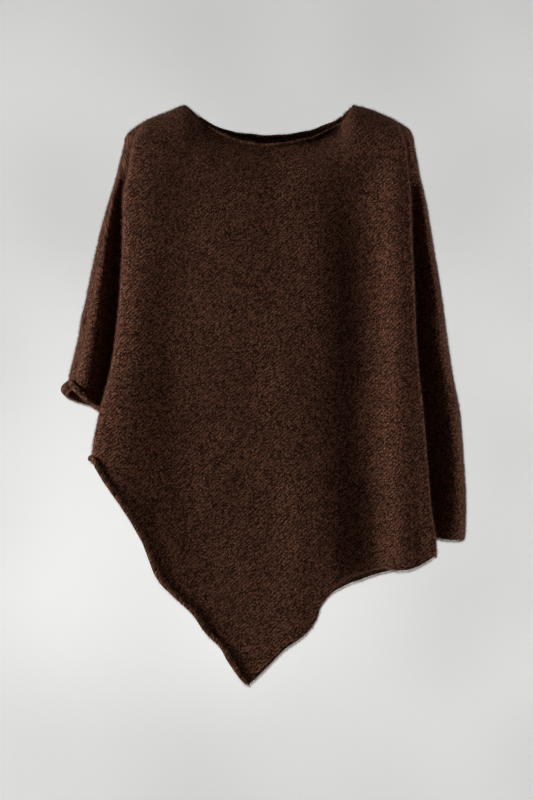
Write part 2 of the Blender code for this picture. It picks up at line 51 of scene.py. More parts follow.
# Tables in millimetres, as in the solid. Level cuts through the poncho: line is the arm's outer
# line, arm the inner edge of the hanging arm cloth, body the edge of the panel beside it, fold
# the depth left at the bottom of the valley between them. seam is how far the left seam lies in
# front of the middle plane, lean how far a valley's bottom lies towards the middle.
SECTION_COLUMNS = (
    "height", "line_l", "arm_l", "body_l", "body_r", "arm_r", "line_r",
    "arm_deep_l", "arm_deep_r", "front_fold_l", "front_fold_r", "front_side", "front_mid",
    "back_fold_l", "back_fold_r", "back_side", "back_mid", "seam", "lean_l", "lean_r")
SECTIONS = (
    (0, -204, -196, -188, 186, 194, 202, 28, 28, 36, 36, 50, 60, 36, 36, 44, 50, 0, 0, 0),
    (-52, -210, -202, -196, 194, 202, 209, 34, 34, 44, 44, 64, 72, 44, 44, 52, 68, 2, 0, 0),
    (-100, -220, -213, -203, 199, 209, 216, 39, 38, 42, 44, 80, 88, 43, 44, 60, 82, 5, 4, 4),
    (-138, -231, -223, -211, 203, 216, 225, 45, 42, 30, 36, 91, 98, 38, 40, 64, 90, 10, 8, 8),
    (-196, -246, -232, -212, 205, 221, 235, 52, 46, 18, 26, 98, 108, 28, 32, 68, 98, 16, 14, 14),
    (-268, -262, -239, -216, 209, 231, 247, 57, 48, 11, 22, 101, 113, 18, 28, 70, 100, 21, 20, 20),
    (-341, -277, -247, -223, 212, 234, 257, 60, 50, 7, 20, 102, 115, 9, 26, 71, 99, 24, 24, 24),
    (-400, -291, -254, -233, 217, 243, 266, 61, 51, 4.6, 20, 103, 115, 4.6, 25, 71, 98, 24, 24, 25),
    (-446, -300, -258, -245, 222, 249, 275, 62, 52, 3.4, 20, 104, 115, 3.4, 25, 72, 98, 16, 20, 25),
    (-509, -305, -268, -255, 227, 256, 280, 62, 52, 1.5, 20, 104, 115, 1.5, 25, 73, 98, 3, 14, 25),
    (-580, -305, -268, -257, 233, 257, 284, 62, 50, 1.5, 20, 104, 115, 1.5, 25, 74, 99, 0, 12, 24),
    (-640, -305, -268, -259, 240, 247, 283, 62, 46, 1.5, 22, 104, 114, 1.5, 27, 74, 100, 0, 10, 16),
    (-840, -305, -268, -262, 244, 250, 284, 62, 44, 1.5, 22, 102, 112, 1.5, 27, 74, 100, 0, 10, 10),
)
# How much further the front panel's left side stands out than its right one, by height
FRONT_LEFT = ((0, 0), (-196, 3), (-268, 6), (-341, 9), (-400, 12), (-446, 14), (-509, 15))
FRONT_BOW, BACK_BOW = 3.2, 2.2
# Rise of the panels' outer ridges over their edges: left edge, left, right, right edge
CREST = {"front": (8.0, 11.0, 11.0, 23.0), "back": (0.0, 9.0, 9.0, 1.0)}
# Top line of the shoulders and the neck edge, across and height
SHOULDER_L = ((-210, -52), (-202, -41), (-188, -31), (-173, -23), (-158, -16.5), (-143, -10.5),
              (-130, -4), (-122, -1.5))
SHOULDER_R = ((122, -1.5), (132, -4), (146, -8.5), (160, -15), (175, -21.5), (189, -28.5),
              (203, -37.5), (209, -52))
NECK_L, NECK_R = -122.0, 122.0
NECK_FRONT = ((-122, -1.5), (-114, -14), (-105, -24), (-86, -40), (-60, -54), (-36, -62),
              (0, -66.5), (36, -62), (65, -55), (85, -45), (103, -32), (115, -15), (122, -1.5))
NECK_BACK = ((-122, -1.5), (-114, -7), (-101, -18), (-87, -28), (-72, -35.5), (-58, -39.5),
             (-28, -43.5), (0, -45.5), (30, -43.5), (60, -38.5), (89, -28), (104, -19), (114, -8),
             (122, -1.5))
NECK_CLOSE, NECK_ROUND, NECK_POINTED = (0.07, 0.18), 2.8, 0.65
NECK_FRONT_DEPTH, NECK_BACK_DEPTH = 62.0, 50.0
TOP_L = ((0, -208.5), (1, -203), (3, -194), (6, -184), (9, -171))
TOP_R = ((17, 171), (20, 184), (23, 194), (25, 203), (26, 208.5))
# Hems, across and height, the left ones where the roll begins
FRONT_HEM = (
    (-246, -511), (-239, -528), (-225, -550), (-209, -573), (-195, -595), (-180, -619),
    (-171, -644), (-163, -666), (-150, -687), (-128, -708), (-104, -731), (-89, -754),
    (-66, -777), (-53, -800), (-27, -829), (-21, -824), (1, -802), (24, -779), (42, -767),
    (58, -752), (68, -736), (72, -720), (78, -711), (88, -696), (101, -683), (121, -674),
    (139, -669), (152, -665), (165, -662), (176, -668), (186, -670), (207, -665), (224, -656),
    (234, -648), (244, -640))
BACK_HEM = (
    (-246, -511), (-239, -526), (-209, -571), (-180, -614), (-163, -660), (-128, -704),
    (-89, -749), (-53, -795), (-27, -824), (1, -800), (42, -768), (68, -740), (81, -725),
    (92, -713), (107, -704), (119, -698), (134, -693), (149, -687), (164, -683), (182, -679),
    (207, -668), (224, -658), (234, -648), (244, -640))
TIP_ACROSS, TIP_DOWN = -27.0, -829.0
HEM_LOWEST, HEM_HIGHEST, CHEST = -860.0, -480.0, -100.0
ARM_HEM = ((0, -648), (0.3, -638), (0.55, -626), (0.75, -629), (0.9, -626), (1, -618))
FRONT_CUFF = ((0, -406), (0.17, -404), (0.3, -410), (0.5, -427), (0.8, -438), (1, -446))
BACK_CUFF = ((0, -406), (0.1, -411), (0.2, -418), (0.5, -433), (0.8, -441), (1, -446))
# Large folds as in the solid: top x and z, foot x and z, width, rise and fade
FRONT_FOLDS = (
    (-172, -190, -208, -520, 32, 7.5, 110),
    (-140, -470, -112, -640, 28, -3.0, 80),
    (130, -260, 134, -700, 42, -15.0, 120),
    (181, -170, 187, -690, 17, 9.5, 90),
    (76, -610, 80, -760, 12, 5.0, 60),
    (52, -590, 30, -770, 34, 6.0, 70),
    (-118, -620, -78, -560, 16, 1.2, 30),
    (-60, -90, -30, -300, 46, 2.0, 80),
    (60, -90, 70, -280, 36, 2.0, 80),
)
BACK_FOLDS = (
    (-165, -200, -140, -560, 28, -8.0, 110),
    (-110, -260, -84, -760, 26, 7.0, 140),
    (-40, -420, -24, -820, 30, -5.0, 120),
    (60, -300, 66, -760, 26, 7.0, 150),
    (118, -240, 124, -700, 24, -9.0, 150),
    (172, -170, 178, -680, 20, 8.0, 140),
    (0, -60, 0, -240, 60, -3.0, 60),
)
# Small soft creases that lie over the large folds, same columns
FRONT_CREASES = (
    (-162, -215, -150, -400, 20, -2.4, 60),
    (-122, -622, -80, -574, 6, 0.5, 14),
    (-112, -640, -70, -592, 7, -0.5, 14),
    (-30, -700, -10, -800, 14, 1.5, 30),
    (-150, -560, -120, -690, 10, 1.6, 30),
    (-196, -90, -190, -190, 9, -1.8, 30),
    (190, -80, 186, -180, 10, -1.6, 30),
    (140, -560, 146, -660, 8, -1.8, 26),
    (92, -640, 96, -700, 6, -2.0, 20),
    (20, -110, -10, -220, 18, -1.0, 30),
    (-90, -240, -70, -420, 20, 1.0, 50),
    (20, -330, 36, -560, 18, 1.0, 60),
    (-20, -420, -60, -620, 16, -1.0, 50),
)
BACK_CREASES = (
    (-120, -120, -104, -300, 12, -1.6, 40),
    (90, -120, 98, -330, 12, 1.5, 40),
    (0, -500, 14, -700, 14, 1.6, 50),
    (-70, -600, -60, -740, 10, -1.6, 30),
    (150, -520, 152, -660, 9, -1.8, 30),
    (30, -120, 40, -260, 16, -1.2, 30),
)
# Slow unevenness of soft cloth: wave length across and down, turn and rise
WAVES = ((148, 231, 0.3, 0.25), (97, 173, 1.9, 0.2), (61, 118, 4.1, 0.14), (43, 71, 2.4, 0.1))

KNOT_UNDERARM, KNOT_BODY_L, KNOT_BODY_R, KNOT_LAST = 6, 9, 17, 26
LIP_COLUMN, JOIN_COLUMN, NARROW = 0.06, 6.16, 0.2
SEAM_GAP, SEAM_LEAN, SEAM_IN, LIP, SHORT_LIP, LIP_MOST = 0.3, 0.34, 0.27, 1.6, 0.6, 0.8
SEAM_FULL, ARM_CORNER, JOIN_SPREAD = 14.0, 4.0, 8.0
# Knots across a valley and a panel as shares of its width, and how far the crests lie inwards
VALLEY_L, VALLEY_M, VALLEY_R = 0.22, 0.5, 0.78
PANEL_SHARES, CREST_IN_L, CREST_IN_R, PANEL_RISE = (0.2, 0.35, 0.5, 0.65, 0.8), 15, 14, 6
CORNER_GAP, CORNER_RUN, SHOULDER_TIP = 0.9, 24.0, (-208.5, -52.0)
JOIN_TOP, JOIN_END, JOIN_EASE = -446.0, -505.0, 7.0
JOIN_CROTCH, JOIN_CROTCH_RUN = 1.2, 24.0
SHOULDER_DROP, TIP_DROP, NECK_DROP, NECK_START = 78.0, 48.0, 60.0, 42.0
# Turn of the rolled edges in degrees and their steps, and where the neck roll starts and tapers
FULL_TURN, ROLL_STEPS, NECK_STEPS, NECK_CLEAR, NECK_TAPER = 250.0, 16, 8, 2, 6
# Ridge of the cloth beside the arm seam, and the slit where the back layer stands off
SEAM_SOFT, RIDGE, RIDGE_AT, RIDGE_WIDE = 1.2, (2.9, 1.1), 3.6, 1.4
RIDGE_TOP, RIDGE_FADE = -60.0, 60.0
SLIT_HEIGHT, SLIT_LONG, SLIT_OPEN = -311.0, 15.0, {"front": (0.8, -0.4), "back": (-3.0, 1.6)}
# How many more loose fibres stand where the cloth turns towards a side
FUZZ_AT_TURNS = 4.0
# Painted shade and painted light on the inner face: how dark it is painted against the outer one
# below the neck, how much lighter behind the neck, and the heights in metres between which the one
# fades into the other
INNER_PAINTED_SHADE, NECK_PAINTED_LIGHT, PAINTED_SHADE_FADE = 0.4, 1.6, (-0.16, -0.08)
# Knit pattern: how much each stitch has its own tone, its darkest and lightest yarn, the noises'
# fineness, for each mm along the strip, and how far flecks stretch
YARN_SHARE, DARK_YARN, LIGHT_YARN, FLECK_STRETCH = 0.68, 0.38, 2.7, 0.42
DRIFT_SCALE, TONE_SCALE, FLECK_SCALE, CLOUD_SCALE = 1 / 9.0, 1 / 2.0, 1 / 1.3, 1 / 60.0
# Backdrop in metres: its floor, wall, bend between them, reach forward, top and half width
SWEEP_FLOOR, SWEEP_WALL, SWEEP_BEND, SWEEP_OUT, SWEEP_TOP, SWEEP_HALF = -1.45, 2.0, 0.7, 4.0, 3.6, 5.0
# The camera's place beside and below the shoulders, and the width that the picture takes in
CAMERA_X, CAMERA_Z, PICTURE_WIDTH = -0.0041, -0.42775, 1.16
# Fineness of the tone along loose fibres and seam yarn, for each metre
FUZZ_SCALE, YARN_SCALE = 400.0, 900.0


# Smooth lines, sections and folds

class Line:
    """A smooth line through rows of (position, value), without overshoot, held at its ends."""

    def __init__(self, rows, column=1):
        rows = sorted(rows, key=lambda row: row[0])
        self.at = np.array([row[0] for row in rows], float)
        self.value = np.array([row[column] for row in rows], float)
        steps = np.diff(self.value) / np.diff(self.at)
        a, b = steps[:-1], steps[1:]
        with np.errstate(all="ignore"):
            inner = np.where(a * b <= 0, 0.0, 2 * a * b / (a + b))
        self.slope = np.concatenate([steps[:1], inner, steps[-1:]])

    def __call__(self, at):
        at = np.clip(np.asarray(at, float), self.at[0], self.at[-1])
        low = np.clip(np.searchsorted(self.at, at) - 1, 0, len(self.at) - 2)
        span = self.at[low + 1] - self.at[low]
        p = (at - self.at[low]) / span
        return ((2 * p ** 3 - 3 * p ** 2 + 1) * self.value[low]
                + (p ** 3 - 2 * p ** 2 + p) * span * self.slope[low]
                + (3 * p ** 2 - 2 * p ** 3) * self.value[low + 1]
                + (p ** 3 - p ** 2) * span * self.slope[low + 1])


def mix(a, b, share):
    return a + (b - a) * share


def ease(share):
    share = np.clip(share, 0.0, 1.0)
    return share * share * (3 - 2 * share)


SECTION_LINES = {name: Line(SECTIONS, i) for i, name in enumerate(SECTION_COLUMNS)}
SHOULDER_LINE_L, SHOULDER_LINE_R = Line(SHOULDER_L), Line(SHOULDER_R)
ARM_HEM_LINE = Line(ARM_HEM)
FRONT_LEFT_LINE = Line(FRONT_LEFT)


class Side:
    """The front or the back half: which way it faces and its own tables."""

    def __init__(self, name, face, bow, neck, neck_depth, hem, cuff, folds, creases):
        self.name, self.face, self.bow = name, face, bow
        self.neck, self.neck_depth = Line(neck), neck_depth
        self.hem, self.cuff = Line(hem), Line(cuff)
        self.folds, self.creases = folds, creases


FRONT = Side("front", -1, FRONT_BOW, NECK_FRONT, NECK_FRONT_DEPTH, FRONT_HEM, FRONT_CUFF,
             FRONT_FOLDS, FRONT_CREASES)
BACK = Side("back", 1, BACK_BOW, NECK_BACK, NECK_BACK_DEPTH, BACK_HEM, BACK_CUFF,
            BACK_FOLDS, BACK_CREASES)


def knots(height, side, half):
    """Control points of the level cuts through one half, one row of points a knot."""
    cut = {name: curve(height) for name, curve in SECTION_LINES.items()}
    deep_l, deep_r = cut["arm_deep_l"], cut["arm_deep_r"]
    fold_l, fold_r = cut[side.name + "_fold_l"], cut[side.name + "_fold_r"]
    edge, middle = cut[side.name + "_side"], cut[side.name + "_mid"]
    edge_l = edge + (FRONT_LEFT_LINE(height) if side is FRONT else 0.0)
    crest = CREST[side.name]
    line_l, arm_l, body_l = cut["line_l"] + half, cut["arm_l"] - half, cut["body_l"] + half
    body_r, arm_r, line_r = cut["body_r"] - half, cut["arm_r"] + half, cut["line_r"] - half
    lean_l, lean_r = cut["lean_l"], cut["lean_r"]
    seam = cut["seam"]
    lean = SEAM_LEAN * np.minimum(1.0, seam / SEAM_FULL)
    run = 0.5 * (deep_l - seam) if side is FRONT else 0.9 * seam + SEAM_FULL
    gap = SEAM_GAP / 2 * side.face
    start = (line_l + SEAM_IN * seam - lean * gap, -seam + gap)
    turn = (start[0] - lean * run * side.face, start[1] + run * side.face)
    left, right = arm_l - line_l, line_r - arm_r
    joined = ease((JOIN_TOP - height) / JOIN_EASE)
    join_x = body_l + 0.5 + lean_l
    crotch = JOIN_CROTCH * (1 - ease((JOIN_TOP - height) / JOIN_CROTCH_RUN))
    valley = []
    for share, sideways in ((VALLEY_L, -1), (VALLEY_M, 0), (VALLEY_R, 1)):
        open_x = mix(arm_l, body_l, share) + lean_l
        valley.append((mix(open_x, join_x, joined),
                       mix(fold_l, SEAM_GAP / 2 + crotch + JOIN_SPREAD * sideways, joined)))
    width = body_r - body_l
    points = [
        (start[0], start[1] * side.face), (turn[0], turn[1] * side.face),
        (line_l + 0.42 * left, deep_l), (arm_l + ARM_CORNER, deep_l + 1.0),
        (arm_l + 0.45 * lean_l, (deep_l + fold_l) / 2), valley[0], valley[1], valley[2],
        (body_l + 0.5 * lean_l, (edge_l + fold_l) / 2),
        (body_l, edge_l + crest[0]), (body_l + CREST_IN_L, edge_l + crest[1])]
    for share in PANEL_SHARES:
        bow = 1 - abs(2 * share - 1) ** side.bow
        points.append((body_l + width * share,
                       mix((edge_l if share < 0.5 else edge) + PANEL_RISE, middle, bow)))
    points += [
        (body_r - CREST_IN_R, edge + crest[2]), (body_r + 1, edge + crest[3]),
        (body_r - 0.5 * lean_r, (edge + fold_r) / 2),
        *((mix(body_r, arm_r, share) - lean_r, fold_r) for share in (VALLEY_L, VALLEY_M, VALLEY_R)),
        (arm_r - 0.45 * lean_r, (deep_r + fold_r) / 2),
        (arm_r, deep_r), (line_r - 0.30 * right, deep_r), (line_r, 0.5 * deep_r),
        (line_r, np.zeros_like(line_r))]
    return np.array([(x, y * side.face) for x, y in points])


def curve_point(points, at):
    """Points of the smooth curves that the control points carry, at one position."""
    low = min(int(at), len(points) - 2)
    p = at - low
    before = points[low - 1] if low else 2 * points[0] - points[1]
    after = points[low + 2] if low + 2 < len(points) else 2 * points[-1] - points[-2]
    return ((1 - p) ** 3 / 6 * before + (3 * p ** 3 - 6 * p ** 2 + 4) / 6 * points[low]
            + (-3 * p ** 3 + 3 * p ** 2 + 3 * p + 1) / 6 * points[low + 1] + p ** 3 / 6 * after)


def fold_rise(x, z, rows):
    """How far folds lift the cloth at each place on the panel."""
    rise = np.zeros_like(x)
    for x1, z1, x2, z2, width, height, fade in rows:
        share = (z - z1) / (z2 - z1)
        across = x - mix(x1, x2, share)
        past = np.maximum(np.maximum(z - max(z1, z2), min(z1, z2) - z), 0.0)
        rise += height * np.exp(-(across / width) ** 2) * np.exp(-(past / fade) ** 2)
    return rise


def wave_rise(x, z, face):
    rise = np.zeros_like(x)
    for across, down, turn, height in WAVES:
        rise += height * np.sin(2 * math.pi * x / across + turn + 0.6 * face) * np.sin(
            2 * math.pi * z / down + 1.7 * turn + face)
    return rise


def section(height, at, side, half, small=True):
    """Points of one column position at several heights, with the folds of the panel."""
    height = np.atleast_1d(np.asarray(height, float))
    x, y = curve_point(knots(height, side, half), at)
    inside = ease((at - KNOT_BODY_L) / 1.5) * ease((KNOT_BODY_R - at) / 1.5)
    if inside > 0:
        rise = fold_rise(x, height, side.folds)
        if small:
            rise = rise + fold_rise(x, height, side.creases) + wave_rise(x, height, side.face)
        y = y + side.face * inside * rise
    if small and at < SEAM_SOFT:
        x, y = beside_seam(height, at, side, half, x, y)
    return x, y


def beside_seam(height, at, side, half, x, y):
    """Raises the cloth beside the arm seam to a soft ridge, and parts it at the slit."""
    x0, y0 = curve_point(knots(height, side, half), 0.0)
    run = np.hypot(x - x0, y - y0)
    reach = np.maximum(run, 1e-6)
    out_x, out_y = (y - y0) * side.face / reach, -(x - x0) * side.face / reach
    flip = np.where(out_x > 0, -1.0, 1.0)
    rise = RIDGE[0 if side is FRONT else 1] * np.exp(-((run - RIDGE_AT) / RIDGE_WIDE) ** 2)
    rise = rise * ease((RIDGE_TOP - height) / RIDGE_FADE) * (1 + 0.25 * np.sin(height / 9.0))
    rise = np.where(run > 0.2, rise, 0.0) * flip
    parted = np.exp(-((height - SLIT_HEIGHT) / SLIT_LONG) ** 4) * (1 - ease(at / SEAM_SOFT))
    slit_x, slit_y = SLIT_OPEN[side.name]
    return x + out_x * rise + slit_x * parted, y + out_y * rise + slit_y * parted


def solve(target, low, high, value):
    """Place at which a rising value meets its target."""
    for _ in range(40):
        middle = (low + high) / 2
        if value(middle) < target:
            low = middle
        else:
            high = middle
    return (low + high) / 2


def spaced(start, end, count):
    return [mix(start, end, i / count) for i in range(1, count + 1)]


class Pattern:
    """Column places and rows of the fine strip, worked out once from the tables."""

    def __init__(self, half, across, down):
        self.half = half
        self.neck_l = solve(NECK_L, KNOT_BODY_L, KNOT_BODY_R, self.chest)
        self.neck_r = solve(NECK_R, KNOT_BODY_L, KNOT_BODY_R, self.chest)
        self.tip = solve(TIP_ACROSS, KNOT_BODY_L, KNOT_BODY_R,
                         lambda at: section(TIP_DOWN, at, FRONT, half, False)[0][0])
        coarse = [0.0, LIP_COLUMN, 1.0, 2.0, 3.0, 4.0, 5.0, 6.0, JOIN_COLUMN, 7.0, 8.0, 9.0]
        coarse += spaced(9.0, self.neck_l, 3)
        coarse += [mix(self.neck_l, self.tip, share) for share in NECK_CLOSE]
        coarse += spaced(coarse[-1], self.tip, 6)
        coarse += spaced(self.tip, mix(self.neck_r, self.tip, NECK_CLOSE[1]), 7)
        coarse += [mix(self.neck_r, self.tip, NECK_CLOSE[0]), self.neck_r]
        coarse += spaced(self.neck_r, 17.0, 3)
        coarse += [float(knot) for knot in range(KNOT_BODY_R + 1, KNOT_LAST + 1)]
        self.columns = [coarse[0]]
        for a, b in zip(coarse, coarse[1:]):
            parts = 1 if b - a < NARROW else across * (3 if b == 1.0 else 1)
            self.columns += [mix(a, b, i / parts) for i in range(1, parts)] + [b]
        self.underarm = self.columns.index(6.0)
        self.tip_index = self.columns.index(self.tip)
        self.neck_from = self.columns.index(self.neck_l)
        self.neck_to = self.columns.index(self.neck_r)
        self.top_l = Line(TOP_L + ((self.neck_l, NECK_L),))
        self.top_r = Line(((self.neck_r, NECK_R),) + TOP_R)
        self.shoulder_rows, self.body_rows, self.skirt_rows = 4 * down, 9 * down, 9 * down

    def chest(self, at):
        return section(CHEST, at, FRONT, self.half, False)[0][0]

    def top_point(self, at, side):
        if at <= self.neck_l:
            x = float(self.top_l(at))
            return x, SEAM_GAP / 2 * side.face, float(SHOULDER_LINE_L(x))
        if at >= self.neck_r:
            x = float(self.top_r(at))
            return x, 0.0, float(SHOULDER_LINE_R(x))
        x = self.chest(at)
        share = abs(2 * (x - NECK_L) / (NECK_R - NECK_L) - 1)
        depth = side.neck_depth * (1 - share ** NECK_ROUND) ** NECK_POINTED
        y = depth * side.face + SEAM_GAP / 2 * side.face * float(ease(-x / NECK_R))
        return x, y, float(side.neck(x))

    def hem_height(self, at, side):
        if at <= KNOT_UNDERARM:
            return float(side.cuff(at / KNOT_UNDERARM))
        if at < KNOT_BODY_L:
            share = (at - KNOT_UNDERARM) / (KNOT_BODY_L - KNOT_UNDERARM)
            return mix(JOIN_END, self.hem_height(KNOT_BODY_L, side), share)
        if at > KNOT_BODY_R:
            return float(ARM_HEM_LINE((at - KNOT_BODY_R) / (KNOT_LAST - KNOT_BODY_R)))
        heights = np.linspace(HEM_LOWEST, HEM_HIGHEST, 400)
        x, _ = section(heights, at, side, self.half)
        over = heights - side.hem(x)
        i = int(np.argmax(over > 0))
        return float(mix(heights[i - 1], heights[i], over[i - 1] / (over[i - 1] - over[i])))

    def column(self, index, side, end, foot):
        """Points of one column from its start down to the level end, then on to its foot."""
        at = self.columns[index]
        x0, y0, z0 = self.top_point(at, side)
        on_neck = self.neck_l < at < self.neck_r
        share = 1 - abs(2 * (x0 - NECK_L) / (NECK_R - NECK_L) - 1) if on_neck else 0.0
        reach = float(ease(4 * share))
        outer = float(ease((abs(x0) - NECK_R) / (abs(SHOULDER_TIP[0]) - NECK_R)))
        drop = mix(mix(SHOULDER_DROP, TIP_DROP, outer), NECK_DROP, reach)
        first = math.radians(NECK_START * reach)
        angle = np.linspace(first, math.pi / 2, self.shoulder_rows + 1)
        out = (np.sin(angle) - math.sin(first)) / (1 - math.sin(first))
        z = z0 - drop * (math.cos(first) - np.cos(angle)) / math.cos(first)
        x, y = section(z, at, side, self.half)
        points = np.stack([mix(x0, x, out), mix(y0, y, out), z], 1)
        lip = np.array([x0, y0 + LIP * side.face * (SHORT_LIP if index == 1 else 1.0), z0])
        if on_neck or index == 0:
            near = LIP / max(LIP, float(np.linalg.norm(points[1] - points[0])))
            lip = mix(points[0], points[1], min(near, LIP_MOST))
        points = np.concatenate([points[:1], lip[None], points[1:]])
        if index < self.neck_from:
            away = np.hypot(points[:, 0] - SHOULDER_TIP[0], points[:, 2] - SHOULDER_TIP[1])
            points[:, 1] += side.face * CORNER_GAP * (1 - ease(away / CORNER_RUN))
        heights = np.linspace(points[-1, 2], end, self.body_rows + 1)[1:]
        if foot is not None:
            heights = np.concatenate([heights, np.linspace(end, foot, self.skirt_rows + 1)[1:]])
        x, y = section(heights, at, side, self.half)
        return np.concatenate([points, np.stack([x, y, heights], 1)])


    def sleeve_column(self, index, side):
        return self.column(index, side, self.hem_height(self.columns[index], side), None)

    def body_column(self, index, side):
        at = self.columns[index]
        foot = JOIN_END if index == self.underarm else self.hem_height(at, side)
        return self.column(index, side, JOIN_TOP, foot)


# The turned over edges

def unit(v):
    return v / np.linalg.norm(v)


def rolled(edge, inner, outward, radius, turn, steps, first=None):
    """Points that turn an edge over, one list a column, from the edge on."""
    lists = []
    last = len(edge) - 1
    for i, place in enumerate(edge):
        along = unit(edge[min(last, i + 1)] - edge[max(0, i - 1)])
        if first is not None and not i:
            along = unit(np.array(first))
        back = place - inner[i]
        face = unit(np.cross(along, back))
        if face @ outward[i] < 0:
            face = -face
        ahead = np.cross(face, along)
        if ahead @ back < 0:
            ahead = -ahead
        angle = np.linspace(0, math.radians(turn[i]), steps + 1)[:, None]
        lists.append(place + radius[i] * (np.sin(angle) * ahead + (1 - np.cos(angle)) * face))
    return lists


def facing(at, side):
    """A rough outward direction for a column, to tell the cloth's outer face."""
    if at < 1.2:
        return np.array((-1.0, 0.4 * side.face, 0.0))
    if at < 3.5:
        return np.array((0.0, side.face, 0.0))
    if at <= 5.5:
        return np.array((1.0, 0.3 * side.face, 0.0))
    if at < 9.0:
        return np.array((-1.0, 0.2 * side.face, 0.0))
    return np.array((0.0, side.face, 0.0))


def lengths(points):
    """Distance run along a list of points."""
    return np.concatenate([[0.0], np.cumsum(np.linalg.norm(np.diff(points, axis=0), axis=1))])


class Cloth:
    """Collects grids of the strip's middle surface with the run of the knit over them."""

    def __init__(self):
        self.points, self.places, self.faces, self.turned = [], [], [], []
        self.count = 0

    def add(self, grid, place, flip, turned=False):
        grid, place = np.asarray(grid), np.asarray(place)
        across, down = grid.shape[:2]
        index = np.arange(across * down).reshape(across, down) + self.count
        a, b = index[:-1, :-1].ravel(), index[:-1, 1:].ravel()
        c, d = index[1:, 1:].ravel(), index[1:, :-1].ravel()
        faces = np.stack([d, c, b, a] if flip else [a, b, c, d], 1)
        self.points.append(grid.reshape(-1, 3))
        self.places.append(place.reshape(-1, 2))
        self.faces.append(faces)
        self.turned.append(np.full(len(faces), turned))
        self.count += across * down

    def arrays(self):
        return (np.concatenate(self.points), np.concatenate(self.places),
                np.concatenate(self.faces))


def lay_half(pattern, side, cloth, props):
    """One half of the strip, its rolled edges and the run of the knit over it."""
    flip = side is BACK
    under = pattern.underarm
    columns = pattern.columns
    sleeve = [pattern.sleeve_column(i, side) for i in range(under + 1)]
    body = [pattern.body_column(i, side) for i in range(under, len(columns))]
    level = 2 + pattern.shoulder_rows + pattern.body_rows - 1
    upper = np.array(sleeve[:-1] + [c[:level + 1] for c in body])
    steps = np.linalg.norm(np.diff(upper, axis=0), axis=2)
    run = np.concatenate([np.zeros((1, steps.shape[1])), np.cumsum(steps, axis=0)])
    run = run - run[pattern.tip_index]
    body_run = [np.concatenate([run[under + i, :level + 1],
                                c[level + 1:, 0] - c[level, 0] + run[under + i, level]])
                for i, c in enumerate(body)]

    def down_run(points):
        length = lengths(points)
        return length[level] - JOIN_TOP - length

    sleeve_place = [np.stack([run[i], down_run(c)], 1) for i, c in enumerate(sleeve)]
    body_place = [np.stack([body_run[i], down_run(c)], 1) for i, c in enumerate(body)]
    cloth.add(sleeve, sleeve_place, flip)
    cloth.add(body, body_place, flip)

    def turn_over(part, places, radius, turn, steps, out, first, foot=True):
        here, before = (-1, -2) if foot else (0, 1)
        curls = rolled([c[here] for c in part], [c[before] for c in part], out, radius, turn,
                       steps, first)
        run_on = []
        for p, curl in zip(places, curls):
            way = unit(p[here] - p[before])
            run_on.append(p[here] + lengths(curl)[:, None] * way)
        cloth.add(curls, run_on, flip == foot, True)

    cuff = slice(1, under - 2)
    ends = [(at - columns[1]) / (columns[under - 3] - columns[1]) for at in columns[cuff]]
    turn_over(sleeve[cuff], sleeve_place[cuff],
              [props.cuff_roll * (1 - 0.3 * float(ease(2 * e - 1)))
               * (1 + 0.10 * math.sin(9 * e + side.face)) for e in ends],
              [FULL_TURN * (1 - 0.85 * float(ease((4 if side is FRONT else 2) * (e - 0.5))))
               for e in ends], ROLL_STEPS,
              [facing(at, side) for at in columns[cuff]], (SEAM_LEAN, -1.0, 0.0))

    hem = slice(1, pattern.tip_index - under + 1)
    ends = [(i + 1) / len(body[hem]) for i in range(len(body[hem]))]
    turn_over(body[hem], body_place[hem],
              [props.hem_roll * (1 - 0.22 * float(ease((e - 0.85) / 0.15)))
               * mix(0.4, 1.0, float(ease(e / 0.12)))
               * (1 + 0.10 * math.sin(31 * e + side.face) + 0.05 * math.sin(67 * e))
               for e in ends],
              [FULL_TURN * (1 - 0.25 * float(ease((e - 0.9) / 0.1)))
               * mix(0.6, 1.0, float(ease(e / 0.08))) + 10 * math.sin(23 * e) for e in ends],
              ROLL_STEPS, [facing(at, side) for at in columns[under:][hem]], (0.0, 1.0, 0.0))

    first, last = (at - under + way * NECK_CLEAR
                   for at, way in ((pattern.neck_from, 1), (pattern.neck_to, -1)))
    neck = range(first, last + 1)
    ends = [float(ease(min(i - first, last - i) / NECK_TAPER)) for i in neck]
    turn_over(body[first:last + 1], body_place[first:last + 1],
              [props.neck_roll * mix(0.35, 1.0, e) * (1 + 0.12 * math.sin(i * 0.9))
               for i, e in zip(neck, ends)],
              [mix(110.0, 195.0 if side is FRONT else 165.0, e) for e in ends], NECK_STEPS,
              [np.array((0.0, side.face, 1.0))] * len(neck), None, foot=False)


# Materials

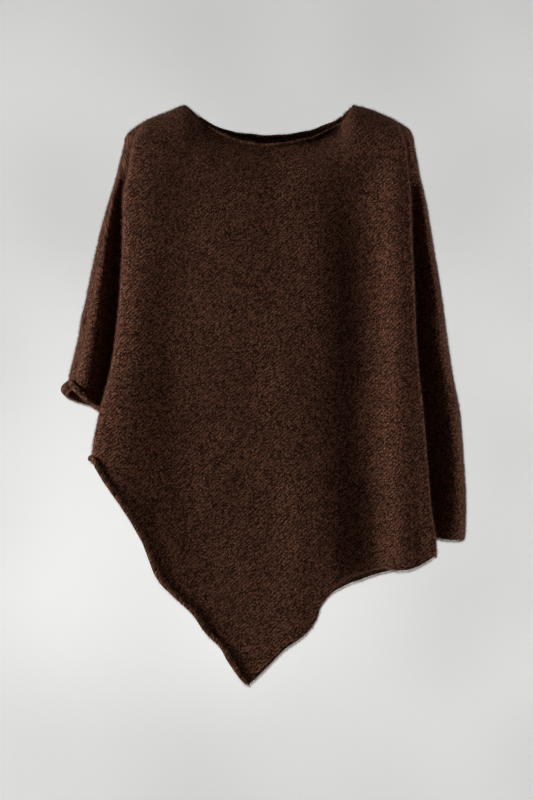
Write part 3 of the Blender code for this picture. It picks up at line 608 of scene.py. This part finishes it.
class Wiring:
    """Adds nodes to a tree and joins them."""

    def __init__(self, tree):
        self.nodes, self.links = tree.nodes, tree.links

    def put(self, kind, given=None, **settings):
        """One node with its settings, its inputs fed by sockets or plain values."""
        made = self.nodes.new("ShaderNode" + kind)
        for name, value in settings.items():
            setattr(made, name, value)
        for socket, value in (given or {}).items():
            if isinstance(value, bpy.types.NodeSocket):
                self.links.new(value, made.inputs[socket])
            else:
                made.inputs[socket].default_value = value
        return made.outputs

    def calc(self, operation, *values):
        return self.put("Math", dict(enumerate(values)), operation=operation)[0]

    def noise(self, vector, scale, detail=2.0, rough=0.5):
        return self.put("TexNoise", {"Vector": vector, "Scale": scale, "Detail": detail,
                                     "Roughness": rough})

    def ramp(self, factor, *stops):
        """Colours between stops of place and colour, or place and grey value."""
        made = self.nodes.new("ShaderNodeValToRGB")
        while len(made.color_ramp.elements) < len(stops):
            made.color_ramp.elements.new(0.5)
        for element, (place, color) in zip(made.color_ramp.elements, stops):
            color = (color,) * 3 if isinstance(color, float) else color
            element.position, element.color = place, (*color, 1.0)
        self.links.new(factor, made.inputs["Fac"])
        return made.outputs["Color"]

    def blend(self, kind, factor, first, second):
        return self.put("Mix", {0: factor, 6: first, 7: second}, data_type="RGBA",
                        blend_type=kind)[2]


def new_material(name, color, roughness):
    """A material with its wiring and its shader's inputs."""
    made = bpy.data.materials.new(name)
    made.use_nodes = True
    shader = made.node_tree.nodes["Principled BSDF"].inputs
    shader["Base Color"].default_value = (*color, 1.0)
    shader["Roughness"].default_value = roughness
    return made, Wiring(made.node_tree), shader


def scaled(colour, share):
    return tuple(c * share for c in colour)


def finish(wiring, shader, colour, **plain):
    """Joins the colour to the shader and sets the plain values on its own sockets."""
    wiring.links.new(colour, shader["Base Color"])
    for name, value in plain.items():
        shader[name.replace("_", " ")].default_value = value


def bumped(wiring, shader, height, strength, depth):
    normal = wiring.put("Bump", {"Strength": strength, "Distance": depth, "Height": height})[0]
    wiring.links.new(normal, shader["Normal"])


def knit_group():
    """Stocking stitch laid on the bias: height of the loops, masks of tone and flecks, and a mask for
    painted shade in the grooves between wales.
    """
    tree = bpy.data.node_groups.new("stocking stitch", "ShaderNodeTree")
    for name, value in (("Wale", 3.5), ("Course", 2.7), ("Lean", 0.76), ("Wander", 0.5)):
        tree.interface.new_socket(name=name, in_out="INPUT",
                                  socket_type="NodeSocketFloat").default_value = value
    for name in ("Height", "Tone", "Fleck", "Cloud", "Painted groove shade"):
        tree.interface.new_socket(name=name, in_out="OUTPUT", socket_type="NodeSocketFloat")
    wiring = Wiring(tree)
    put, calc = wiring.put, wiring.calc
    given = tree.nodes.new("NodeGroupInput").outputs
    out = tree.nodes.new("NodeGroupOutput").inputs

    run = put("VectorMath", {0: put("UVMap", uv_map="knit run")["UV"], "Scale": 1000.0},
              operation="SCALE")[0]
    drift = wiring.noise(run, DRIFT_SCALE)["Color"]
    shift = put("VectorMath", {0: drift, 1: (0.5, 0.5, 0.5)}, operation="SUBTRACT")[0]
    amount = put("CombineXYZ", {"X": given["Wander"], "Y": given["Wander"]})[0]
    wandered = put("VectorMath", {0: shift, 1: amount, 2: run}, operation="MULTIPLY_ADD")[0]
    turned = put("VectorRotate", {"Vector": wandered,
                                  "Angle": calc("MULTIPLY", given["Lean"], -1.0)},
                 rotation_type="Z_AXIS")[0]
    parts = put("SeparateXYZ", {0: turned})
    wale = calc("DIVIDE", parts["Y"], given["Wale"])
    course = calc("DIVIDE", parts["X"], given["Course"])
    place = calc("FRACT", wale)
    leg = calc("ABSOLUTE", calc("SUBTRACT", place, 0.5))
    step = calc("ADD", course, leg)
    loop = calc("SINE", calc("MULTIPLY", calc("FRACT", step), math.pi))
    round_leg = calc("SINE", calc("MULTIPLY", leg, 2 * math.pi))
    # Groove profile between the wales: it shapes the loops' height, and its own output darkens the
    # colour there as painted shade
    groove = calc("POWER", calc("SINE", calc("MULTIPLY", place, math.pi)), 0.7)
    height = calc("MULTIPLY", calc("ADD", calc("MULTIPLY", round_leg, 0.3), groove),
                  calc("ADD", calc("MULTIPLY", loop, 0.5), 0.5))
    stretched = put("CombineXYZ", {"X": calc("MULTIPLY", parts["X"], FLECK_STRETCH),
                                   "Y": parts["Y"]})[0]
    each = put("CombineXYZ", {"X": calc("FLOOR", step),
                              "Y": calc("FLOOR", calc("MULTIPLY", wale, 2.0))})[0]
    yarn = put("TexWhiteNoise", {"Vector": each}, noise_dimensions="2D")["Value"]
    soft = wiring.noise(stretched, TONE_SCALE, 1.0, 0.6)["Fac"]
    tone = calc("ADD", calc("MULTIPLY", yarn, YARN_SHARE),
                calc("MULTIPLY", soft, 1 - YARN_SHARE))
    raised = calc("ADD", calc("MULTIPLY", height, 0.7), calc("MULTIPLY", tone, 0.35))
    for name, value in (
            ("Height", raised), ("Tone", tone), ("Painted groove shade", groove),
            ("Fleck", wiring.noise(stretched, FLECK_SCALE, 1.0, 0.6)["Fac"]),
            ("Cloud", wiring.noise(run, CLOUD_SCALE)["Fac"])):
        tree.links.new(value, out[name])
    return tree


def knit_material(props, name, painted_shade=1.0):
    """The brushed knit with painted shade in the grooves between wales; on the inner face painted
    shade below the neck and painted light behind it.
    """
    brown = tuple(props.brown)
    made, wiring, shader = new_material(name, brown, 0.92)
    stitch = wiring.nodes.new("ShaderNodeGroup")
    stitch.node_tree = bpy.data.node_groups.get("stocking stitch") or knit_group()
    for socket, value in (("Wale", props.wale * 1000), ("Course", props.course * 1000),
                          ("Lean", props.lean)):
        stitch.inputs[socket].default_value = value
    masks = stitch.outputs
    colour = wiring.blend(
        "MIX", wiring.ramp(masks["Fleck"], (0.58, 0.0), (0.70, 1.0)),
        wiring.ramp(masks["Tone"], (0.22, scaled(brown, DARK_YARN)), (0.5, brown),
                    (0.80, scaled(brown, LIGHT_YARN))), (*props.fleck, 1.0))
    # Slow random tone, then painted shade that darkens the grooves between wales
    tone_and_painted_shade = [wiring.ramp(masks["Cloud"], (0.3, 0.90), (0.7, 1.08)),
              wiring.ramp(masks["Painted groove shade"], (0.25, 0.56), (0.8, 1.10))]
    # On the inner face: painted shade below the neck, fading into painted light behind the neck
    if painted_shade < 1.0:
        place = wiring.put("SeparateXYZ", {"Vector": wiring.put("TexCoord")["Object"]})
        rise = wiring.put("MapRange", {"Value": place["Z"], "From Min": PAINTED_SHADE_FADE[0],
                                       "From Max": PAINTED_SHADE_FADE[1]})["Result"]
        tone_and_painted_shade.append(wiring.ramp(rise, (0.0, painted_shade), (1.0, NECK_PAINTED_LIGHT)))
    for each in tone_and_painted_shade:
        colour = wiring.blend("MULTIPLY", 1.0, colour, each)
    bumped(wiring, shader, masks["Height"], 0.8, props.relief)
    finish(wiring, shader, colour, Specular_IOR_Level=0.05, Sheen_Weight=0.03,
           Sheen_Roughness=0.5, Sheen_Tint=(0.62, 0.36, 0.26, 1.0))
    return made


def fuzz_material(name, tint):
    """Wool that changes a little from fibre to fibre."""
    made, wiring, shader = new_material(name, tint, 0.8)
    tone = wiring.noise(wiring.put("TexCoord")["Object"], FUZZ_SCALE)["Fac"]
    colour = wiring.ramp(tone, (0.35, scaled(tint, 0.6)), (0.65, scaled(tint, 1.5)))
    finish(wiring, shader, colour, Specular_IOR_Level=0.2)
    return made


def yarn_material(props):
    """The twisted yarn of the seams, lighter than the knit: its tone varies at random along the
    twist, and its overall lift is a painted highlight of the seam ridge.
    """
    made, wiring, shader = new_material("brown seam yarn with painted highlight", props.brown, 0.9)
    tone = wiring.noise(wiring.put("TexCoord")["Object"], YARN_SCALE, 3.0)["Fac"]
    # Painted highlight: the yarn is lifted well above the knit's brown so the seam ridge shows light
    colour = wiring.ramp(tone, (0.3, scaled(props.brown, 1.3)), (0.7, scaled(props.brown, 3.2)))
    bumped(wiring, shader, tone, 0.6, 0.0004)
    finish(wiring, shader, colour, Specular_IOR_Level=0.15, Sheen_Weight=0.3)
    return made


# Meshes

def mesh_object(name, points, faces, material, smooth=True):
    data = bpy.data.meshes.new(name)
    data.from_pydata(points.tolist(), [], faces)
    data.update()
    item = bpy.data.objects.new(name, data)
    bpy.context.scene.collection.objects.link(item)
    data.materials.append(material)
    if smooth:
        data.shade_smooth()
    return item


def attach(item, node=None):
    """Fixes a piece to the poncho and hides the solid that it stands for."""
    if node:
        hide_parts(node)
    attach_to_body(item, "root")


def made_before(name):
    item = bpy.data.objects.get(name)
    if item is None:
        raise RuntimeError(f"build {name} first")
    return item


def strip_pattern(scene):
    props = scene.poncho_cloth
    return Pattern(props.wall * 500.0, props.fine_across, props.fine_down)


def outer_grid(cloth_points, faces, rng, count):
    """Random places on the faces with their outward direction, more on larger faces."""
    corners = cloth_points[faces]
    one = corners[:, 2] - corners[:, 0]
    two = corners[:, 3] - corners[:, 1]
    normal = np.cross(one, two)
    area = np.linalg.norm(normal, axis=1)
    good = area > 1e-9
    corners, normal, area = corners[good], normal[good], area[good]
    normal /= area[:, None]
    share = area * (1 + FUZZ_AT_TURNS * (1 - np.abs(normal[:, 1])) ** 2)
    pick = rng.choice(len(area), size=count, p=share / share.sum())
    u, v = rng.random((2, count, 1))
    c = corners[pick]
    place = ((1 - u) * (1 - v) * c[:, 0] + (1 - u) * v * c[:, 1] + u * v * c[:, 2]
             + u * (1 - v) * c[:, 3])
    return place, normal[pick]


def between(at, run, rows):
    """Rows at each distance, from rows known along a run."""
    return np.stack([np.interp(at, run, rows[:, axis]) for axis in range(3)], 1)


def rims(pattern, side, cloth, step):
    """Places along the edges of one half, and the way out of the cloth there."""
    under = pattern.underarm
    sleeve = [pattern.sleeve_column(i, side) for i in range(1, under - 2)]
    body = [pattern.body_column(i, side) for i in range(under + 1, len(pattern.columns))]
    tip, first = pattern.tip_index - under - 1, pattern.neck_from - under
    last = pattern.neck_to - under - 1
    places, ways = [], []
    for part, foot, reach in (
            (sleeve, True, cloth.cuff_roll), (body[:tip + 1], True, cloth.hem_roll),
            (body[tip:], True, 0.0), (body[first:last], False, cloth.neck_roll)):
        here, before = (-1, -2) if foot else (0, 1)
        ends = np.array([column[here] for column in part])
        away = unit_rows(ends - np.array([column[before] for column in part]))
        edge = (ends + away * (reach + pattern.half)) / 1000.0
        run = lengths(edge)
        at = np.arange(0.0, run[-1], step)
        places.append(between(at, run, edge))
        ways.append(between(at, run, away))
    return np.concatenate(places), unit_rows(np.concatenate(ways))


def fibres(name, place, normal, rng, props, material):
    """Short bent fibres on the cloth, joined to one mesh, each a ribbon with a pointed end."""
    count = len(place)
    side = unit_rows(np.cross(normal, rng.normal(size=(count, 3))))
    other = np.cross(normal, side)
    spin = rng.random((count, 1)) * 2 * math.pi
    sideways = np.cos(spin) * side + np.sin(spin) * other
    stand = rng.uniform(0.15, 0.85, (count, 1)) + 0.3 * (1 - np.abs(normal[:, 1:2]))
    length = props.length * rng.uniform(0.45, 1.25, (count, 1))
    first = unit_rows(normal * stand + sideways * (1.0 - 0.6 * np.minimum(stand, 1)))
    drop = np.array([[0.0, 0.0, -0.35]])
    second = unit_rows(first + sideways * rng.uniform(-0.9, 0.9, (count, 1)) + drop
                       + normal * rng.uniform(-0.5, 0.3, (count, 1)))
    wide = unit_rows(np.cross(first, rng.normal(size=(count, 3)))) * props.thick / 2
    root = place - normal * 0.0003
    bend = root + first * length * 0.55
    tip = bend + second * length * 0.45
    points = np.stack([root - wide, root + wide, bend + wide * 0.8, bend - wide * 0.8, tip], 1)
    base = np.arange(count)[:, None] * 5
    quads = (base + np.array([[0, 1, 2, 3]])).tolist()
    ends = (base + np.array([[3, 2, 4]])).tolist()
    return mesh_object(name, points.reshape(-1, 3), quads + ends, material, smooth=False)


def unit_rows(v):
    return v / np.maximum(np.linalg.norm(v, axis=1, keepdims=True), 1e-12)


def tube(points, faces, path, radius, sides):
    """Adds a round tube along a path to lists of points and faces, closed at both ends."""
    start = len(points)
    last = len(path) - 1
    up = np.array((0.31, 0.42, 0.85))
    for i, place in enumerate(path):
        along = unit(path[min(last, i + 1)] - path[max(0, i - 1)])
        across = unit(np.cross(along, up))
        over = np.cross(across, along)
        size = radius * (0.55 if i in (0, last) else 1.0)
        for k in range(sides):
            angle = 2 * math.pi * k / sides
            points.append(place + size * (math.cos(angle) * across + math.sin(angle) * over))
    for i in range(last):
        for k in range(sides):
            j = (k + 1) % sides
            a, b = start + i * sides, start + (i + 1) * sides
            faces.append((a + k, a + j, b + j, b + k))
    faces.append(tuple(start + k for k in reversed(range(sides))))
    faces.append(tuple(start + last * sides + k for k in range(sides)))


def resampled(path, step):
    run = lengths(path)
    count = max(2, int(run[-1] / step))
    return between(np.linspace(0, run[-1], count + 1), run, path)


def sew(name, path, across, outward, props, material):
    """Small slanting stitches over a seam: each rises on one side and goes down on the other."""
    points, faces = [], []
    half = props.reach / 2
    for i in range(len(path) - 1):
        along = unit(path[i + 1] - path[i])
        side, out = across[i], outward[i]
        middle = (path[i] + path[i + 1]) / 2
        arc = []
        for k in range(7):
            share = k / 6
            rise = math.sin(math.pi * share) * props.lift
            arc.append(middle + side * mix(-half, half, share)
                       + along * mix(-0.5, 0.5, share) * props.pitch * 0.9
                       + out * (rise - props.yarn * 0.6))
        tube(points, faces, np.array(arc), props.yarn, 6)
    return mesh_object(name, np.array(points), faces, material)


# Properties

def size_in_metres(name, description, default, low, high):
    return FloatProperty(name=name, description=description, default=default, min=low, max=high,
                         unit="LENGTH")


def radius_in_mm(name, default, high):
    return FloatProperty(name=name, description="Radius of the turned over edge in mm",
                         default=default, min=1.0, max=high)


def whole_number(name, description, default, low, high):
    return IntProperty(name=name, description=description, default=default, min=low, max=high)


def colour_choice(name, description, default):
    return FloatVectorProperty(name=name, description=description, default=default,
                               subtype="COLOR", size=3, min=0.0, max=1.0)


def light_power(name, description, default):
    return FloatProperty(name=name, description=description, default=default, min=0.0,
                         unit="POWER")


class PonchoCloth(bpy.types.PropertyGroup):
    """Sizes of the cloth and its turned over edges."""

    wall: size_in_metres("Cloth", "Thickness of the knit", 0.0026, 0.001, 0.006)
    hem_roll: radius_in_mm("Hem roll", 2.9, 6.0)
    cuff_roll: radius_in_mm("Cuff roll", 3.9, 6.0)
    neck_roll: radius_in_mm("Neck roll", 3.0, 4.0)
    fine_across: whole_number("Fine across", "Parts of each coarse column", 3, 1, 6)
    fine_down: whole_number("Fine down", "Parts of each coarse row", 6, 1, 10)


class PonchoKnit(bpy.types.PropertyGroup):
    """Colours and stitch of the brushed knit."""

    brown: colour_choice("Brown", "Main colour of the wool", (0.046, 0.0182, 0.0107))
    fleck: colour_choice("Flecks", "Colour of the lighter fibres", (0.32, 0.140, 0.080))
    wale: size_in_metres("Wale", "Width of one column of stitches", 0.0044, 0.001, 0.01)
    course: size_in_metres("Course", "Height of one row of stitches", 0.0030, 0.001, 0.01)
    lean: FloatProperty(name="Lean", description="Turn of the wales from level",
                        default=0.75, min=-3.2, max=3.2, subtype="ANGLE")
    relief: size_in_metres("Relief", "Depth of the stitches", 0.0011, 0.0, 0.004)


class PonchoFuzz(bpy.types.PropertyGroup):
    """Brushed fibres that stand off the cloth."""

    count: whole_number("Fibres", "Fibres on each half", 62000, 0, 66000)
    length: size_in_metres("Length", "Length of a fibre", 0.0045, 0.001, 0.02)
    thick: size_in_metres("Thickness", "Width of a fibre", 0.00026, 0.00002, 0.001)
    edge_step: size_in_metres("Edge step", "Distance between edge fibres", 0.00010, 0.00005, 0.01)
    # Edge fibres are lighter than the loose fibres: a painted highlight that stands for the lit rim
    edge_fibre_highlight: colour_choice("Edge fibre", "Colour of the edge fibres", (0.22, 0.098, 0.056))
    fibre: colour_choice("Fibre", "Colour of the loose fibres", (0.125, 0.055, 0.032))


class PonchoSeam(bpy.types.PropertyGroup):
    """Stitches of the sewn seams."""

    pitch: size_in_metres("Pitch", "Distance between stitches", 0.0036, 0.001, 0.02)
    reach: size_in_metres("Reach", "Width of a stitch over the seam", 0.0044, 0.001, 0.02)
    lift: size_in_metres("Lift", "Height of a stitch off the cloth", 0.0009, 0.0, 0.01)
    yarn: size_in_metres("Yarn", "Radius of the sewing yarn", 0.0006, 0.0002, 0.003)


class PonchoStage(bpy.types.PropertyGroup):
    """Backdrop, lights and camera."""

    paper: colour_choice("Backdrop", "Colour of the backdrop", (0.55, 0.548, 0.542))
    top_light: light_power("Top light", "Power of the weak top light", 5.0)
    left_light: light_power("Left light", "Power of the strong side light", 126.0)
    right_light: light_power("Right light", "Power of the weak side light", 66.0)
    wall_light: light_power("Wall light", "Power of the light on the backdrop", 20.5)
    distance: size_in_metres("Camera distance", "Camera to the poncho", 5.0, 1.0, 50.0)


# Operators

class PONCHO_OT_strip(bpy.types.Operator):
    """Builds the knitted strip with its folds and rolled edges"""

    bl_idname = "poncho.strip"
    bl_label = "Knitted strip"

    def execute(self, context):
        props = context.scene.poncho_cloth
        pattern = strip_pattern(context.scene)
        cloth = Cloth()
        for side in (FRONT, BACK):
            lay_half(pattern, side, cloth, props)
        points, places, faces = cloth.arrays()
        outer = knit_material(context.scene.poncho_knit, "brown brushed knit")
        # The inner face's colour carries painted shade below the neck and painted light behind it
        inner = knit_material(context.scene.poncho_knit, "brown knit inner face", INNER_PAINTED_SHADE)
        item = mesh_object("poncho_knit", points / 1000.0, faces.tolist(), outer)
        for material in (inner, outer, outer):
            item.data.materials.append(material)
        item.data.polygons.foreach_set(
            "material_index", np.where(np.concatenate(cloth.turned), 2, 0).astype(np.int32))
        layer = item.data.uv_layers.new(name="knit run")
        loops = np.empty(len(item.data.loops), dtype=np.int64)
        item.data.loops.foreach_get("vertex_index", loops)
        layer.data.foreach_set("uv", (places[loops] / 1000.0).ravel())
        made = bmesh.new()
        made.from_mesh(item.data)
        bmesh.ops.remove_doubles(made, verts=made.verts, dist=0.00002)
        made.to_mesh(item.data)
        made.free()
        item.data.shade_smooth()
        wall = item.modifiers.new("cloth wall", "SOLIDIFY")
        wall.thickness, wall.offset, wall.material_offset = props.wall, 0.0, 1
        attach(item, "knitted_strip")
        return {"FINISHED"}


class PONCHO_OT_seams(bpy.types.Operator):
    """Sews the seam over the shoulder and arm and the short one under the arm"""

    bl_idname = "poncho.seams"
    bl_label = "Sewn seams"

    def execute(self, context):
        props = context.scene.poncho_seam
        pattern = strip_pattern(context.scene)
        material = yarn_material(context.scene.poncho_knit)
        half = pattern.half
        arm, beside_arm = (pattern.sleeve_column(i, FRONT)[2:] for i in (0, 1))
        tops = np.array([pattern.top_point(pattern.columns[i], FRONT)
                         for i in range(pattern.neck_from - 1, -1, -1) if i != 1])
        beside = np.concatenate([tops - np.array((0, LIP, 0)), beside_arm])
        edge = np.concatenate([tops, arm])
        under, near = (pattern.body_column(pattern.underarm + i, FRONT) for i in (0, 1))
        low = len(under) - pattern.skirt_rows
        for name, node, line, by in (
                ("arm_seam_stitches", "arm_seam", edge, beside),
                ("underarm_seam_stitches", "underarm_seam", under[low + 6:-4],
                 near[low + 6:-4])):
            middle = line + np.array((0, SEAM_GAP / 2, 0))
            path = resampled(middle / 1000.0, props.pitch)
            run = lengths(middle / 1000.0)
            way = unit_rows(by - line)
            across = unit_rows(between(lengths(path), run, way))
            along = unit_rows(np.gradient(path, axis=0))
            out = unit_rows(np.cross(along, across))
            flip = out[:, 2] - out[:, 0] < 0
            out[flip] *= -1
            item = sew(name, path + out * half / 1000.0, across, out, props, material)
            attach(item, node)
        return {"FINISHED"}


class PONCHO_OT_fuzz(bpy.types.Operator):
    """Brushes up the loose fibres of both faces of the cloth"""

    bl_idname = "poncho.fuzz"
    bl_label = "Brushed fibres"

    def execute(self, context):
        made_before("poncho_knit")
        props = context.scene.poncho_fuzz
        scene = context.scene
        material = fuzz_material("brown wool fibre", props.fibre)
        # The lighter edge fibres paint a highlight along the rims
        edge_highlight_material = fuzz_material("brown wool fibre at edges", props.edge_fibre_highlight)
        pattern = strip_pattern(scene)
        for seed, side in ((11, FRONT), (12, BACK)):
            rng = np.random.default_rng(seed)
            cloth = Cloth()
            lay_half(pattern, side, cloth, scene.poncho_cloth)
            points, _, faces = cloth.arrays()
            place, normal = outer_grid(points / 1000.0, faces, rng, props.count)
            place = place + normal * scene.poncho_cloth.wall / 2
            edge, away = rims(pattern, side, scene.poncho_cloth, props.edge_step)
            edge = edge + rng.normal(size=edge.shape) * scene.poncho_cloth.wall / 4
            trim = fibres(f"{side.name}_edge_fibres", edge, away, rng, props, edge_highlight_material)
            attach(trim)
            item = fibres(f"{side.name}_fibres", place, normal, rng, props, material)
            attach(item)
        return {"FINISHED"}


class PONCHO_OT_declare(bpy.types.Operator):
    """Takes no step; the strip stays as built"""

    bl_idname = "poncho.declare"
    bl_label = "State the cloth"

    def execute(self, context):
        return {"FINISHED"}


class PONCHO_OT_stage(bpy.types.Operator):
    """Sets the backdrop, the soft lights and the camera"""

    bl_idname = "poncho.stage"
    bl_label = "Stage"

    def execute(self, context):
        scene, props = context.scene, context.scene.poncho_stage
        wall, bend = SWEEP_WALL, SWEEP_BEND
        profile = [(-SWEEP_OUT, SWEEP_FLOOR)]
        for angle in np.linspace(0.0, math.pi / 2, 13):
            profile.append((wall - bend * (1 - math.sin(angle)),
                            SWEEP_FLOOR + bend * (1 - math.cos(angle))))
        profile.append((wall, SWEEP_TOP))
        points = np.array([(x, y, z) for x in (-SWEEP_HALF, SWEEP_HALF) for y, z in profile])
        count = len(profile)
        faces = np.array([(i, i + count, i + count + 1, i + 1) for i in range(count - 1)])
        made, wiring, shader = new_material("pale backdrop", props.paper, 1.0)
        cloud = wiring.noise(wiring.put("TexCoord")["Object"], 1.7, 1.0)["Fac"]
        colour = wiring.ramp(cloud, (0.32, scaled(props.paper, 0.86)),
                             (0.70, scaled(props.paper, 1.07)))
        finish(wiring, shader, colour, Specular_IOR_Level=0.0)
        sweep = mesh_object("pale_backdrop", points, faces.tolist(), made)

        world = bpy.data.worlds.new("studio")
        world.use_nodes = True
        glow = world.node_tree.nodes["Background"].inputs
        glow["Color"].default_value = (1.0, 1.0, 1.0, 1.0)
        glow["Strength"].default_value = 0.012
        scene.world = world
        lights = (
            ("left light", (-3.0, -0.85, -0.2), (0.0, 0.0, -0.4), (1.0, 1.3), props.left_light),
            ("right light", (3.1, -0.15, -0.5), (0.0, 0.0, -0.45), (1.0, 1.8), props.right_light),
            ("top light", (0.0, -1.3, 2.2), (0.0, 0.0, -0.2), (1.6, 1.0), props.top_light),
            ("wall light", (0.0, 0.7, 2.6), (0.0, 2.0, -0.2), (3.2, 0.8), props.wall_light),
            ("low wall light", (0.0, 0.6, -1.4), (0.0, 2.0, -0.6), (3.2, 0.5),
             props.wall_light * 1.6),
        )
        for name, spot, aim, size, power in lights:
            data = bpy.data.lights.new(name, "AREA")
            data.shape, data.energy = "RECTANGLE", power
            data.size, data.size_y = size
            lamp = bpy.data.objects.new(name, data)
            lamp.location = spot
            lamp.rotation_euler = (Vector(aim) - Vector(spot)).to_track_quat("-Z", "Y").to_euler()
            scene.collection.objects.link(lamp)

        camera = bpy.data.cameras.new("camera")
        camera.lens = camera.sensor_width * props.distance / PICTURE_WIDTH
        camera.clip_end = 60.0
        eye = bpy.data.objects.new("camera", camera)
        eye.location = (CAMERA_X, -props.distance, CAMERA_Z)
        eye.rotation_euler = (math.pi / 2, 0.0, 0.0)
        scene.collection.objects.link(eye)
        scene.camera = eye
        scene.view_settings.view_transform = "Standard"
        return {"FINISHED"}


class PONCHO_PT_panel(bpy.types.Panel):
    """Lists the poncho's pieces and their sizes"""

    bl_label = "Knitted Poncho"
    bl_idname = "PONCHO_PT_panel"
    bl_space_type = "VIEW_3D"
    bl_region_type = "UI"
    bl_category = "Poncho"

    def draw(self, context):
        for prop, group, operators in GROUPS:
            box = self.layout.box()
            for name in group.__annotations__:
                box.prop(getattr(context.scene, prop), name)
            for operator in operators:
                box.operator(operator.bl_idname)


GROUPS = (
    ("poncho_cloth", PonchoCloth, (PONCHO_OT_strip,)),
    ("poncho_knit", PonchoKnit, ()),
    ("poncho_seam", PonchoSeam, (PONCHO_OT_seams,)),
    ("poncho_fuzz", PonchoFuzz, (PONCHO_OT_fuzz, PONCHO_OT_declare)),
    ("poncho_stage", PonchoStage, (PONCHO_OT_stage,)),
)


def register():
    for name, group, operators in GROUPS:
        for item in (group, *operators):
            bpy.utils.register_class(item)
        setattr(bpy.types.Scene, name, PointerProperty(type=group))
    bpy.utils.register_class(PONCHO_PT_panel)


def unregister():
    bpy.utils.unregister_class(PONCHO_PT_panel)
    for name, group, operators in reversed(GROUPS):
        delattr(bpy.types.Scene, name)
        for item in (*operators, group):
            bpy.utils.unregister_class(item)


def main():
    register()
    bpy.ops.poncho.strip()
    bpy.ops.poncho.seams()
    bpy.ops.poncho.fuzz()
    bpy.ops.poncho.declare()
    bpy.ops.poncho.stage()


if __name__ == "__main__":
    main()
